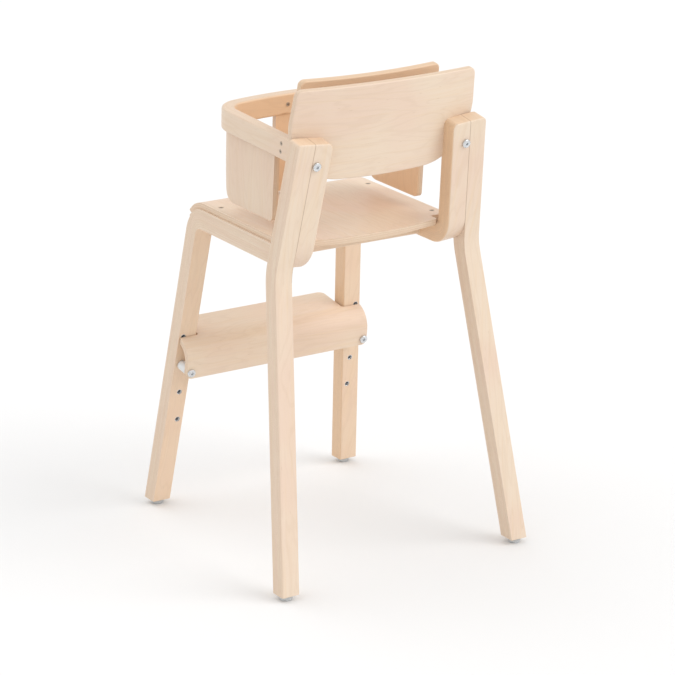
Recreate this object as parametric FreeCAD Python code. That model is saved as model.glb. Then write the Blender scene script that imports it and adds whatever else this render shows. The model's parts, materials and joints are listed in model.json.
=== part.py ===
import FreeCAD, Part
import os
from math import atan, cos, degrees, pi, radians, sin, sqrt, tan

V = FreeCAD.Vector

# Child's high chair of bent laminated birch, with a height-adjustable footrest
# and a bolt-on safety hoop.  Millimetres, +Z up, the child faces -Y, +X is the
# child's left.  The origin is on the floor under the middle of the chair.

# ---- driving dimensions -------------------------------------------------------

FOOT_HALF_WIDTH = 216.6      # outer faces of the rear legs, at the floor
SPLAY_SLOPE = 0.0886         # how much each side leans in per unit of height
LEG_WIDTH = 28.0             # rear leg lamination, seen from behind
FRAME_WIDTH = 30.0           # side frame lamination, seen from behind
LAM_THICK = 27.0             # thickness of both laminations, seen from the side
GLIDE_HEIGHT = 8.5
GLIDE_RADIUS = 9.0

REAR_LEG_FOOT_Y = 230.2      # rear face of the rear leg, at the floor
REAR_LEG_SLOPE = -0.1784
KNEE_Z = 459.0               # height of the rear leg's bend
UPRIGHT_SLOPE = 0.1933       # recline of the uprights and of the backrest
UPRIGHT_TOP_Z = 654.5
KNEE_RADIUS = 70.0

FRONT_LEG_FOOT_Y = -203.2    # rear face of the front leg, at the floor
FRONT_LEG_SLOPE = 0.1716
RAIL_TOP_Z = 491.3           # top of the seat rail at the middle of the chair
RAIL_SLOPE = 0.0175          # the rail drops this much towards the back
FRAME_BEND = 40.0            # outer radius of the side frame's front bend
REAR_BEND = 48.0             # outer radius of its rear bend

SEAT_THICK = 9.0
SEAT_HALF_WIDTH = 142.0
SEAT_REAR_Y = 139.0
SEAT_NOTCH_Y = 114.0         # the seat narrows here to pass between the uprights
SEAT_NOTCH_HALF_WIDTH = 112.0
SEAT_DISH = 3.0
SEAT_LIFT = 0.15             # glue line under the seat
BED_DEPTH = 9.0              # the strip that levels the leaning rail goes this far into it
BED_FRONT_Y = -160.0
BED_REAR_Y = 96.0
BED_LOW_Z = 474.0
WATERFALL_START_Y = -110.5
WATERFALL_RADIUS = 45.0
WATERFALL_TURN = 50.0        # degrees

RAIL_DEPTH = 20.0            # cross rails under the seat
RAIL_LOW_Z = 462.0
RAIL_HIGH_Z = 485.5
REAR_RAIL_Y = 68.5
FRONT_RAIL_Y = -82.0

BACKREST_THICK = 10.0
BACKREST_TOP_HALF_WIDTH = 149.5   # its ends lean out downwards, as the uprights do
BACKREST_TOP_CORNER = 11.0
BACKREST_LOW_CORNER = 85.0
BACKREST_LOW_Z = 591.0
BACKREST_HIGH_Z = 725.0
BACKREST_CROWN = 2.5         # how far the middle of its long edges stands beyond their ends
PLATE_CURVE = 842.0          # radius of the backrest and of the hoop's back plate
BACKREST_SEAT_DEPTH = 1.0    # how far the backrest is let into the uprights at the bolts

BOLT_X = 126.5
BOLT_Z = 624.4
BOLT_RADIUS = 3.0
BOLT_HEAD_RADIUS = 6.5
BOLT_HEAD_HEIGHT = 3.6
BOLT_CLEARANCE = 0.3
INSERT_RADIUS = 4.3
INSERT_LENGTH = 16.0

HOOP_HALF_WIDTH = 137.0
HOOP_THICK = 19.5
HOOP_HEIGHT = 32.5
HOOP_TOP_Z = 652.3           # top of the hoop at the middle of the chair
HOOP_TILT = 3.3              # degrees, the front is the higher end
HOOP_FRONT_Y = -106.0
HOOP_FRONT_RADIUS = 500.0
HOOP_CORNER_RADIUS = 50.0
HOOP_BACK_GAP = 0.5          # air between the arms' ends and the backrest

PANEL_THICK = 9.0
PANEL_INSET = 3.0            # from the hoop's inner face to the panel's inner face
PANEL_TONGUE = 20.0          # how far the panels reach up into the hoop
SIDE_PANEL_LOW_Z = 517.0
SIDE_PANEL_REAR_LOW_Z = 514.0
SIDE_PANEL_REAR_Y = 65.0     # at the lower edge
SIDE_PANEL_REAR_LEAN = 12.0  # further back at the hoop
SIDE_PANEL_TURN = 35.0       # how far the panel follows the hoop's corner, degrees
CROTCH_PANEL_LOW_Z = 507.0
CROTCH_PANEL_HALF_WIDTH = 27.0

BACK_PLATE_THICK = 11.0
BACK_PLATE_END_Y = 127.0     # rear face of the plate's ends, at the plate's top
BACK_PLATE_LOW_Z = 597.0
BACK_PLATE_HIGH_Z = 727.8

STEP_THICK = 9.0
STEP_Z = 286.0               # tread surface at the rear face of the front legs
STEP_HALF_WIDTH = 162.0
TONGUE_HALF_WIDTH = 129.5    # the tread's front part, between the legs
STEP_FRONT = 58.0            # tread in front of the legs' rear face
STEP_BACK = 31.0             # rear face of the flange behind the legs' rear face
STEP_DROP = 57.5             # tread surface to the flange's lower edge
STEP_BEND = 34.0
STEP_LEG_GAP = 1.6           # air between the legs and the wide part of the tread
STEP_BOLT_X = 155.5
SPACER_RADIUS = 7.5
INSERT_TOP_Z = 286.0
INSERT_PITCH = 46.6
INSERT_COUNT = 4

# ---- derived values -----------------------------------------------------------

SPLAY = atan(SPLAY_SLOPE)
LEAN = degrees(atan(UPRIGHT_SLOPE))
LEG_LEAN = degrees(atan(FRONT_LEG_SLOPE))
STEP_BOLT_DROP = INSERT_PITCH / cos(radians(LEG_LEAN))
PAIR_WIDTH = LEG_WIDTH + FRAME_WIDTH
KNEE_Y = REAR_LEG_FOOT_Y + REAR_LEG_SLOPE * KNEE_Z
FRAME_INNER_BEND = FRAME_BEND - LAM_THICK
CROWN_ARC = 0.9              # share of a crowned edge that its arc takes up
PEAK_OVER_CROWN = 1 / (1 - CROWN_ARC / 2)


def slanted(thickness, slope):
    """Thickness of a slanted bar, measured along a row axis."""
    return thickness * sqrt(1 + slope * slope)


def rear_leg_y(z):
    return REAR_LEG_FOOT_Y + REAR_LEG_SLOPE * z


def upright_y(z):
    """Rear face of the uprights."""
    return KNEE_Y + UPRIGHT_SLOPE * (z - KNEE_Z)


def upright_front_y(z):
    return upright_y(z) - slanted(LAM_THICK, UPRIGHT_SLOPE)


def front_leg_y(z):
    """Rear face of the front legs."""
    return FRONT_LEG_FOOT_Y + FRONT_LEG_SLOPE * z


def rail_top_z(y):
    return RAIL_TOP_Z - RAIL_SLOPE * y


def side_x(z, inward=0.0):
    """Half-width of the chair at a height, a distance inwards from the outer face."""
    return FOOT_HALF_WIDTH - SPLAY_SLOPE * z - inward / cos(SPLAY)


# ---- drawing helpers ----------------------------------------------------------

def crossing(a, a_way, b, b_way):
    """Where two lines in a plane meet, each a point and a direction."""
    det = a_way[0] * b_way[1] - a_way[1] * b_way[0]
    along = ((b[0] - a[0]) * b_way[1] - (b[1] - a[1]) * b_way[0]) / det
    return (a[0] + along * a_way[0], a[1] + along * a_way[1])


def outline(corners, place):
    """A closed outline: corners are (a, b, radius), and place puts (a, b) in space."""
    edges = []
    starts = []
    ends = []
    for i, (a, b, radius) in enumerate(corners):
        here = V(a, b, 0)
        before = V(*corners[i - 1][:2], 0)
        after = V(*corners[(i + 1) % len(corners)][:2], 0)
        back = (before - here).normalize()
        ahead = (after - here).normalize()
        half = back.getAngle(ahead) / 2
        if radius:
            middle_way = (back + ahead).normalize()
            centre = here + middle_way * (radius / sin(half))
            start = here + back * (radius / tan(half))
            end = here + ahead * (radius / tan(half))
            middle = centre - middle_way * radius
            edges.append(Part.Arc(*[place(p.x, p.y) for p in (start, middle, end)]).toShape())
        else:
            start = here
            end = here
        starts.append(start)
        ends.append(end)
    for i, end in enumerate(ends):
        start = starts[(i + 1) % len(starts)]
        if end.distanceToPoint(start) > 1e-6:
            edges.append(Part.makeLine(place(end.x, end.y), place(start.x, start.y)))
    return Part.Wire(Part.__sortEdges__(edges))


def slab(corners, place, along):
    """A solid drawn as an outline and pushed along a vector."""
    return Part.Face(outline(corners, place)).extrude(along)


def rod(radius, start, end):
    """A round bar between two points."""
    return Part.makeCylinder(radius, (end - start).Length, start, end - start)


def edges_where(shape, test):
    return [edge for edge in shape.Edges if all(test(v.Point) for v in edge.Vertexes)]


def softened(shape, radius, test):
    """The shape with a radius on every edge whose ends pass a test."""
    return shape.makeFillet(radius, edges_where(shape, test))


def beyond(point, way):
    """Everything on the far side of a plane, for trimming."""
    return Part.makeCylinder(900, 900, point, way)


def moved(shape, origin, turn_axis, turn):
    result = shape.copy()
    result.Placement = FreeCAD.Placement(origin, FreeCAD.Rotation(turn_axis, turn)).multiply(result.Placement)
    return result


def mirrored(shape):
    """The same piece on the child's right."""
    return shape.mirror(V(0, 0, 0), V(1, 0, 0))


def leaned(shape):
    """From the backrest's own axes: y away from the uprights' front faces, z up the recline."""
    return moved(shape, V(0, upright_front_y(BOLT_Z), BOLT_Z), V(1, 0, 0), -LEAN)


def hung(shape):
    """From the hoop's own axes: z = 0 on the hoop's top face."""
    return moved(shape, V(0, 0, HOOP_TOP_Z), V(1, 0, 0), -HOOP_TILT)


def stepped(shape):
    """From the footrest's own axes: y back from the legs' rear faces, z up the legs."""
    return moved(shape, V(0, front_leg_y(STEP_Z), STEP_Z), V(1, 0, 0), -LEG_LEAN)


# ---- the two laminations of a side --------------------------------------------

def side_plane(y, z):
    """Heights are kept true although the side leans in."""
    return V(0, y, z / cos(SPLAY))


def stood(shape):
    """Leans a side lamination in, puts it in place and cuts its feet level."""
    leaning = moved(shape, V(FOOT_HALF_WIDTH, 0, 0), V(0, 1, 0), -degrees(SPLAY))
    return leaning.cut(beyond(V(0, 0, GLIDE_HEIGHT), V(0, 0, -1)))


def upright_end():
    """The two top corners of an upright, cut square to its recline."""
    rear = (upright_y(UPRIGHT_TOP_Z), UPRIGHT_TOP_Z)
    run = LAM_THICK / slanted(1, UPRIGHT_SLOPE)
    return rear, (rear[0] - run, rear[1] + run * UPRIGHT_SLOPE)


def rear_leg():
    """Outer lamination: floor, bend behind the seat, upright."""
    deep = slanted(LAM_THICK, REAR_LEG_SLOPE)
    leg_way = (REAR_LEG_SLOPE, 1)
    up_way = (UPRIGHT_SLOPE, 1)
    front_foot = (rear_leg_y(0) - deep, 0)
    knee_front = crossing(front_foot, leg_way, (upright_front_y(0), 0), up_way)
    rear_top, front_top = upright_end()
    corners = [
        (rear_leg_y(-20), -20, 0),
        (KNEE_Y, KNEE_Z, KNEE_RADIUS),
        (*rear_top, 0),
        (*front_top, 0),
        (*knee_front, KNEE_RADIUS + LAM_THICK),
        (rear_leg_y(-20) - deep, -20, 0),
    ]
    bar = slab(corners, side_plane, V(-LEG_WIDTH, 0, 0))
    top = UPRIGHT_TOP_Z / cos(SPLAY) - 1
    bar = softened(bar, 7.0, lambda p: p.z > top and p.x > -0.01)
    bar = softened(bar, 2.5, lambda p: p.x > -0.01)
    return bar


def side_frame():
    """Inner lamination: front leg, seat rail and upright in one strip."""
    deep = slanted(LAM_THICK, FRONT_LEG_SLOPE)
    rail_deep = slanted(LAM_THICK, RAIL_SLOPE)
    leg_way = (FRONT_LEG_SLOPE, 1)
    rail_way = (1, -RAIL_SLOPE)
    up_way = (UPRIGHT_SLOPE, 1)
    rail_top = (0, rail_top_z(0))
    rail_low = (0, rail_top_z(0) - rail_deep)
    leg_rear = (front_leg_y(0), 0)
    leg_front = (front_leg_y(0) - deep, 0)
    rear_top, front_top = upright_end()
    corners = [
        (front_leg_y(-20) - deep, -20, 0),
        (*crossing(leg_front, leg_way, rail_top, rail_way), FRAME_BEND),
        (*crossing(rail_top, rail_way, (upright_front_y(0), 0), up_way), REAR_BEND - LAM_THICK),
        (*front_top, 0),
        (*rear_top, 0),
        (*crossing(rail_low, rail_way, (upright_y(0), 0), up_way), REAR_BEND),
        (*crossing(leg_rear, leg_way, rail_low, rail_way), FRAME_INNER_BEND),
        (front_leg_y(-20), -20, 0),
    ]
    bar = slab(corners, side_plane, V(-FRAME_WIDTH, 0, 0))
    top = UPRIGHT_TOP_Z / cos(SPLAY) - 1
    inner = 0.01 - FRAME_WIDTH
    bar = softened(bar, 9.0, lambda p: p.z > top and p.x < inner)
    bar = softened(bar, 2.5, lambda p: p.x < inner)
    bar.translate(V(-LEG_WIDTH, 0, 0))
    return bar


# ---- seat ---------------------------------------------------------------------

def seat_path(run):
    """Underside of the seat: a point and its upward normal, a distance from the back edge."""
    slope = atan(RAIL_SLOPE)
    back = SEAT_REAR_Y + 12
    straight = (back - WATERFALL_START_Y) / cos(slope)
    flat = min(run, straight)
    y = back - flat * cos(slope)
    z = rail_top_z(back) + SEAT_LIFT + flat * sin(slope)
    turn = max(0.0, run - straight) / WATERFALL_RADIUS
    angle = turn - slope
    y -= WATERFALL_RADIUS * (sin(angle) + sin(slope)) if turn else 0
    z -= WATERFALL_RADIUS * (cos(slope) - cos(angle)) if turn else 0
    normal = V(0, -sin(angle), cos(angle))
    return V(0, y, z), normal, straight


def seat_sheet(height):
    """A moulded surface of the seat, a height above its underside, dished between the rails."""
    straight = seat_path(0)[2]
    whole = straight + WATERFALL_RADIUS * radians(WATERFALL_TURN)
    rows = 22
    columns = 19
    grid = []
    for i in range(rows + 1):
        run = whole * i / rows
        point, normal, _ = seat_path(run)
        fade = 0.5 + 0.5 * cos(pi * min(1.0, max(0.0, (run - 120) / (straight - 120))))
        line = []
        for j in range(columns + 1):
            x = (SEAT_HALF_WIDTH + 4) * (2 * j / columns - 1)
            inside = max(0.0, 1 - (x / SEAT_NOTCH_HALF_WIDTH) ** 2)
            line.append(point + normal * (height - SEAT_DISH * fade * inside ** 2) + V(x, 0, 0))
        grid.append(line)
    sheet = Part.BSplineSurface()
    sheet.interpolate(grid)
    return sheet.toShape()


def moulded(low, high):
    """The solid between two sheets with matching edges."""
    faces = [low, high]
    for below, above in zip(low.Edges, high.Edges):
        faces.append(Part.makeRuledSurface(below, above))
    shell = Part.makeShell(faces)
    shell.sewShape()
    return Part.makeSolid(shell)


def seat_shell():
    blank = moulded(seat_sheet(0), seat_sheet(SEAT_THICK))
    half = SEAT_HALF_WIDTH
    waist = SEAT_NOTCH_HALF_WIDTH
    bow = 7.0
    right = [(half, -200, 0), (half, SEAT_NOTCH_Y, 7), (waist, SEAT_NOTCH_Y, 3),
             (waist, SEAT_REAR_Y - bow, 5), (waist / 2, SEAT_REAR_Y, 220)]
    left = [(-x, y, r) for x, y, r in reversed(right)]
    plan = slab(right + left, lambda a, b: V(a, b, 400), V(0, 0, 200))
    front = [(half, 560, 0), (half, 474, 12), (-half, 474, 12), (-half, 560, 0)]
    shield = slab(front, lambda a, b: V(a, -200, b), V(0, 400, 0))
    return blank.common(plan).common(shield)


def seat_bed():
    """Strip on top of the leaning rail, shaped to the underside of the seat."""
    blank = moulded(seat_sheet(-BED_DEPTH), seat_sheet(-SEAT_LIFT))
    high = RAIL_TOP_Z + BED_DEPTH
    corners = [(BED_FRONT_Y, BED_LOW_Z, 0), (BED_REAR_Y, BED_LOW_Z, 0), (BED_REAR_Y, high, 0), (BED_FRONT_Y, high, 0)]
    rail = slab(corners, side_plane, V(-FRAME_WIDTH, 0, 0))
    rail.translate(V(-LEG_WIDTH, 0, 0))
    return blank.common(stood(rail))


def cross_rail(y):
    """A rail between the side frames, with its ends cut to their lean."""
    low = side_x(RAIL_LOW_Z, PAIR_WIDTH)
    high = side_x(RAIL_HIGH_Z, PAIR_WIDTH)
    corners = [(-low, RAIL_LOW_Z, 0), (low, RAIL_LOW_Z, 0), (high, RAIL_HIGH_Z, 0), (-high, RAIL_HIGH_Z, 0)]
    bar = slab(corners, lambda a, b: V(a, y - RAIL_DEPTH / 2, b), V(0, RAIL_DEPTH, 0))
    return bar.makeFillet(2.0, [e for e in bar.Edges if e.Length > 150])


# ---- curved plates ------------------------------------------------------------

def bowed_plate(half_low, half_high, low, high, crown, thickness, corners, rear_at_end):
    """A plate bowed backwards, in the backrest's own axes, with rounded corners and edges."""
    sagitta = PLATE_CURVE - sqrt(PLATE_CURVE ** 2 - half_high ** 2)
    centre = V(0, rear_at_end + sagitta - PLATE_CURVE, low - 10)
    tall = high - low + 20
    outer = Part.makeCylinder(PLATE_CURVE, tall, centre)
    inner = Part.makeCylinder(PLATE_CURVE - thickness, tall, centre)
    face = [(half_low, low, corners[0]), (half_high, high, corners[1])]
    if crown:
        rise = crown * PEAK_OVER_CROWN
        face = [(0, low - rise, CROWN_ARC * (half_low - corners[0]) * half_low / rise), *face]
        face = [*face, (0, high + rise, CROWN_ARC * (half_high - corners[1]) * half_high / rise)]
    face += [(-x, z, r) for x, z, r in reversed(face) if x]
    window = slab(face, lambda a, b: V(a, rear_at_end - 60, b), V(0, 120, 0))
    plate = window.common(outer).cut(inner)
    return plate.makeFillet(2.5, [e for e in plate.Edges if on_face(e, centre, thickness)])


def on_face(edge, centre, thickness):
    """Whether an edge runs along the front or the rear face of a bowed plate."""
    middle = edge.valueAt((edge.FirstParameter + edge.LastParameter) / 2)
    ends = [v.Point for v in edge.Vertexes] + [middle]
    for radius in (PLATE_CURVE, PLATE_CURVE - thickness):
        if all(abs((V(p.x, p.y, 0) - V(centre.x, centre.y, 0)).Length - radius) < 0.01 for p in ends):
            return True
    return False


def up_recline(z, ahead=0.0):
    """Distance up the recline, from the bolts, of a height on a plane parallel to the uprights."""
    return (z - BOLT_Z + ahead * sin(radians(LEAN))) / cos(radians(LEAN))


def backrest():
    top_half = BACKREST_TOP_HALF_WIDTH
    low_half = top_half + SPLAY_SLOPE * (BACKREST_HIGH_Z - BACKREST_LOW_Z)
    drop = (top_half ** 2 - BOLT_X ** 2) / (2 * PLATE_CURVE)
    plate = bowed_plate(low_half, top_half, up_recline(BACKREST_LOW_Z), up_recline(BACKREST_HIGH_Z),
                        BACKREST_CROWN, BACKREST_THICK, (BACKREST_LOW_CORNER, BACKREST_TOP_CORNER),
                        BACKREST_SEAT_DEPTH - drop)
    return leaned(plate)


def back_plate():
    """The hoop's own back, which bridges its arms in front of the backrest."""
    half = HOOP_HALF_WIDTH - HOOP_THICK
    ahead = (BACK_PLATE_END_Y - upright_front_y(BACK_PLATE_HIGH_Z)) * cos(radians(LEAN))
    plate = bowed_plate(half, half, up_recline(BACK_PLATE_LOW_Z, ahead), up_recline(BACK_PLATE_HIGH_Z, ahead),
                        0, BACK_PLATE_THICK, (9.0, 9.0), ahead)
    return leaned(plate)


# ---- hoop ---------------------------------------------------------------------

def hoop_corner():
    """Centre of the hoop's left corner in plan, and of its long front curve."""
    centre_x = HOOP_HALF_WIDTH - HOOP_CORNER_RADIUS
    middle_y = HOOP_FRONT_Y + HOOP_FRONT_RADIUS
    reach = HOOP_FRONT_RADIUS - HOOP_CORNER_RADIUS
    return centre_x, middle_y - sqrt(reach ** 2 - centre_x ** 2), middle_y


def hoop_line(inset, arm_end):
    """Half of the hoop's plan, a distance in from its outer face: arm, corner, front."""
    corner = HOOP_CORNER_RADIUS - inset
    front = HOOP_FRONT_RADIUS - inset
    centre_x, centre_y, middle_y = hoop_corner()
    way = atan((middle_y - centre_y) / centre_x)
    joint = V(centre_x + corner * cos(way), centre_y - corner * sin(way), 0)
    bend = V(centre_x + corner * cos(way / 2), centre_y - corner * sin(way / 2), 0)
    start = V(centre_x + corner, centre_y, 0)
    half_way = (pi / 2 + way) / 2
    arc = V(front * cos(half_way), middle_y - front * sin(half_way), 0)
    nose = V(0, middle_y - front, 0)
    return V(centre_x + corner, arm_end, 0), start, bend, joint, arc, nose


def hoop_strip(outer_inset, inner_inset, low, high, arm_end):
    """The part of the hoop's bent strip between two insets and two heights."""
    edges = []
    ends = []
    for inset in (outer_inset, inner_inset):
        for side in (1, -1):
            line = [V(p.x * side, p.y, low) for p in hoop_line(inset, arm_end)]
            edges.append(Part.makeLine(line[0], line[1]))
            edges.append(Part.Arc(line[1], line[2], line[3]).toShape())
            edges.append(Part.Arc(line[3], line[4], line[5]).toShape())
            ends.append(line[0])
    edges.append(Part.makeLine(ends[0], ends[2]))
    edges.append(Part.makeLine(ends[1], ends[3]))
    wire = Part.Wire(Part.__sortEdges__(edges))
    return Part.Face(wire).extrude(V(0, 0, high - low))


def hoop():
    """The bent strip round the child, its arms cut to the backrest's recline."""
    strip = hoop_strip(0, HOOP_THICK, -HOOP_HEIGHT, 0, 200)
    long_edges = [e for e in strip.Edges if abs(e.Vertexes[0].Z - e.Vertexes[-1].Z) < 0.01
                  and abs(e.Vertexes[0].Y - 200) + abs(e.Vertexes[-1].Y - 200) > 1]
    strip = hung(strip.makeFillet(3.5, long_edges))
    end_drop = (HOOP_HALF_WIDTH ** 2 - BOLT_X ** 2) / (2 * PLATE_CURVE)
    end = BACKREST_SEAT_DEPTH - end_drop - BACKREST_THICK - HOOP_BACK_GAP
    return strip.cut(leaned(beyond(V(0, end, 0), V(0, 1, 0))))


def panel_strip():
    """A deep strip along the hoop, which the panels are cut from."""
    outer = HOOP_THICK - PANEL_INSET - PANEL_THICK
    return hoop_strip(outer, outer + PANEL_THICK, -200, PANEL_TONGUE - HOOP_HEIGHT, 200)


def side_panel():
    """Ply cheek under the arm, bent with the hoop's corner at its front edge."""
    centre_x, centre_y, _ = hoop_corner()
    turn = radians(SIDE_PANEL_TURN)
    front = beyond(V(centre_x, centre_y, 0), V(-sin(turn), -cos(turn), 0))
    sheet = hung(panel_strip().cut(front))
    reach = centre_y - HOOP_CORNER_RADIUS * sin(turn)
    low = SIDE_PANEL_LOW_Z
    corners = [(SIDE_PANEL_REAR_Y + SIDE_PANEL_REAR_LEAN, HOOP_TOP_Z, 0),
               (SIDE_PANEL_REAR_Y, SIDE_PANEL_REAR_LOW_Z, 7),
               (reach + 12, low, 24), (reach - 4, HOOP_TOP_Z, 0)]
    window = slab(corners, lambda a, b: V(60, a, b), V(100, 0, 0))
    return sheet.common(window)


def crotch_panel():
    """Ply tongue under the middle of the hoop, between the child's legs."""
    half = CROTCH_PANEL_HALF_WIDTH
    low = CROTCH_PANEL_LOW_Z
    corners = [(-half, low, 12), (half, low, 12), (half, HOOP_TOP_Z + 20, 0), (-half, HOOP_TOP_Z + 20, 0)]
    window = slab(corners, lambda a, b: V(a, -120, b), V(0, 80, 0))
    return hung(panel_strip()).common(window)


# ---- footrest -----------------------------------------------------------------

def footrest():
    """Ply tread that passes between the front legs and bends down behind them."""
    back = STEP_BACK
    thick = STEP_THICK
    profile = [(-STEP_FRONT, 0, 0), (back, 0, STEP_BEND), (back, -STEP_DROP, 0),
               (back - thick, -STEP_DROP, 0), (back - thick, -thick, STEP_BEND - thick),
               (-STEP_FRONT, -thick, 0)]
    bent = slab(profile, lambda a, b: V(-STEP_HALF_WIDTH, a, b), V(2 * STEP_HALF_WIDTH, 0, 0))
    half = TONGUE_HALF_WIDTH
    wide = STEP_HALF_WIDTH
    right = [(half, -STEP_FRONT, 10), (half, STEP_LEG_GAP, 3), (wide, STEP_LEG_GAP, 2), (wide, back + 5, 0)]
    left = [(-x, y, r) for x, y, r in reversed(right)]
    plan = slab(right + left, lambda a, b: V(a, b, -100), V(0, 0, 200))
    face = [(wide, 10, 0), (wide, -STEP_DROP, 8), (-wide, -STEP_DROP, 8), (-wide, 10, 0)]
    apron = slab(face, lambda a, b: V(a, -100, b), V(0, 200, 0))
    return stepped(bent.common(plan).common(apron))


def step_spacer():
    start = V(STEP_BOLT_X, STEP_LEG_GAP - 0.3, -STEP_BOLT_DROP)
    end = V(STEP_BOLT_X, STEP_BACK - STEP_THICK, -STEP_BOLT_DROP)
    tube = rod(SPACER_RADIUS, start, end).cut(rod(BOLT_RADIUS, start, end))
    return stepped(tube)


# ---- hardware -----------------------------------------------------------------

def hex_bolt(head, tip):
    """A pan-head bolt with a hexagon socket, from under its head to its tip."""
    way = (tip - head).normalize()
    crown = head - way * BOLT_HEAD_HEIGHT
    body = rod(BOLT_HEAD_RADIUS, crown, head)
    body = body.makeFillet(1.6, [e for e in body.Edges if len(e.Vertexes) == 1
                                 and abs((e.Vertexes[0].Point - crown).dot(way)) < 0.01])
    socket = Part.Face(Part.makePolygon([crown + v for v in hexagon(way, 2.3)])).extrude(way * 2.4)
    shank = rod(BOLT_RADIUS, head, tip)
    shank = shank.makeChamfer(0.7, [e for e in shank.Edges
                                    if len(e.Vertexes) == 1 and e.Vertexes[0].Point.distanceToPoint(tip) < 4])
    return body.cut(socket).fuse(shank).removeSplitter()


def hexagon(normal, reach):
    """The seven points of a closed hexagon square to a direction."""
    across = V(1, 0, 0)
    up = normal.cross(across)
    return [across * (reach * cos(pi * i / 3)) + up * (reach * sin(pi * i / 3)) for i in range(7)]


def backrest_bolt():
    """Passes through the upright and the backrest into the end of the hoop's arm."""
    skew = UPRIGHT_SLOPE * sin(SPLAY) * (side_x(BOLT_Z) - BOLT_X)
    head = V(BOLT_X, LAM_THICK + skew, 0)
    return leaned(hex_bolt(head, V(BOLT_X, -24, 0)))


def bolt_bore():
    return leaned(rod(BOLT_RADIUS + BOLT_CLEARANCE, V(BOLT_X, 60, 0), V(BOLT_X, -60, 0)))


def arm_insert():
    """Threaded sleeve in the end of the hoop's arm."""
    start = V(BOLT_X, -11.6, 0)
    end = V(BOLT_X, -27, 0)
    return leaned(rod(INSERT_RADIUS, start, end).cut(rod(BOLT_RADIUS + BOLT_CLEARANCE, start, end)))


def step_bolt():
    head = V(STEP_BOLT_X, STEP_BACK, -STEP_BOLT_DROP)
    return stepped(hex_bolt(head, V(STEP_BOLT_X, -10, -STEP_BOLT_DROP)))


def leg_inserts():
    """Four threaded sleeves in the rear face of a front leg, one for each height."""
    sleeves = []
    for i in range(INSERT_COUNT):
        down = (INSERT_TOP_Z - i * INSERT_PITCH - STEP_Z) / cos(radians(LEG_LEAN))
        start = V(STEP_BOLT_X, 0.5, down)
        end = V(STEP_BOLT_X, -INSERT_LENGTH, down)
        sleeve = rod(INSERT_RADIUS, start, end).cut(rod(BOLT_RADIUS + BOLT_CLEARANCE, start, end))
        sleeves.append(stepped(sleeve))
    return Part.makeCompound(sleeves)


def insert_pockets():
    """Solid plugs where the sleeves go."""
    pockets = []
    for i in range(INSERT_COUNT):
        down = (INSERT_TOP_Z - i * INSERT_PITCH - STEP_Z) / cos(radians(LEG_LEAN))
        start = V(STEP_BOLT_X, 5, down)
        end = V(STEP_BOLT_X, -INSERT_LENGTH, down)
        pockets.append(stepped(rod(INSERT_RADIUS, start, end)))
    return Part.makeCompound(pockets)


def wood_screw(face, way, length, head_radius=4.0):
    """A countersunk screw, flush with the face it is driven into."""
    recess = Part.Face(Part.makePolygon([face + v for v in hexagon(way, 1.6)])).extrude(way * 1.2)
    return screw_body(face, way, length, head_radius).cut(recess)


def screw_body(face, way, length, head_radius):
    head = Part.makeCone(head_radius, 2.0, 2.2, face, way)
    return head.fuse(rod(2.0, face + way * 2.2, face + way * length)).removeSplitter()


def screw_pocket(face, way, length, head_radius=4.0):
    """What a screw takes out of its wood, open at the head."""
    return screw_body(face, way, length, head_radius).fuse(rod(head_radius, face - way * 3, face))


def glide(x, y):
    """Plastic foot under a leg, with a rounded lower edge."""
    disc = Part.makeCylinder(GLIDE_RADIUS, GLIDE_HEIGHT, V(x, y, 0))
    return disc.makeFillet(2.5, [e for e in disc.Edges if len(e.Vertexes) == 1 and e.Vertexes[0].Z < 0.01])


# ---- assembly -----------------------------------------------------------------

def save(name, shape):
    shape.exportStep("parts/" + name + ".step")
    box = shape.BoundBox
    print("%-24s solids %d valid %s vol %9.0f  x %.1f %.1f  y %.1f %.1f  z %.1f %.1f" % (
        name, len(shape.Solids), shape.isValid(), shape.Volume,
        box.XMin, box.XMax, box.YMin, box.YMax, box.ZMin, box.ZMax))


def save_pair(name, shape):
    save(name + "_left", shape)
    save(name + "_right", mirrored(shape))


def main():
    os.makedirs("parts", exist_ok=True)
    rest = backrest()
    bolt = backrest_bolt()
    bore = bolt_bore()
    both_bores = bore.fuse(mirrored(bore))
    inserts = leg_inserts()
    pockets = insert_pockets()

    seat_screws, seat_pockets = driven([seat_screw(x, y) for x in (129.5, -129.5) for y in (-79.0, 92.0)])

    frame = stood(side_frame()).fuse(seat_bed()).removeSplitter().cut(rest).cut(bore).cut(pockets).cut(bolt).cut(seat_pockets)
    save_pair("side_frame", frame)
    save_pair("rear_leg", stood(rear_leg()).cut(rest).cut(bolt))
    save("front_cross_rail", cross_rail(FRONT_RAIL_Y))
    save("rear_cross_rail", cross_rail(REAR_RAIL_Y))
    save("seat_shell", seat_shell().cut(seat_pockets))
    save("seat_screws", seat_screws)
    save("backrest", rest.cut(both_bores))
    save_pair("backrest_bolt", bolt)
    save_pair("footrest_inserts", inserts)
    front_x = side_x(GLIDE_HEIGHT, LEG_WIDTH + FRAME_WIDTH / 2)
    rear_x = side_x(GLIDE_HEIGHT, LEG_WIDTH / 2)
    half_deep = LAM_THICK / 2
    save_pair("glide_front", glide(front_x, front_leg_y(GLIDE_HEIGHT) - half_deep))
    save_pair("glide_rear", glide(rear_x, rear_leg_y(GLIDE_HEIGHT) - half_deep))

    step_bolts = step_bolt()
    tread = footrest().cut(step_bolts).cut(mirrored(step_bolts))
    save("footrest", tread)
    save_pair("footrest_bolt", step_bolts)
    save_pair("footrest_spacer", step_spacer())

    save_hoop(both_bores)


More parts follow.
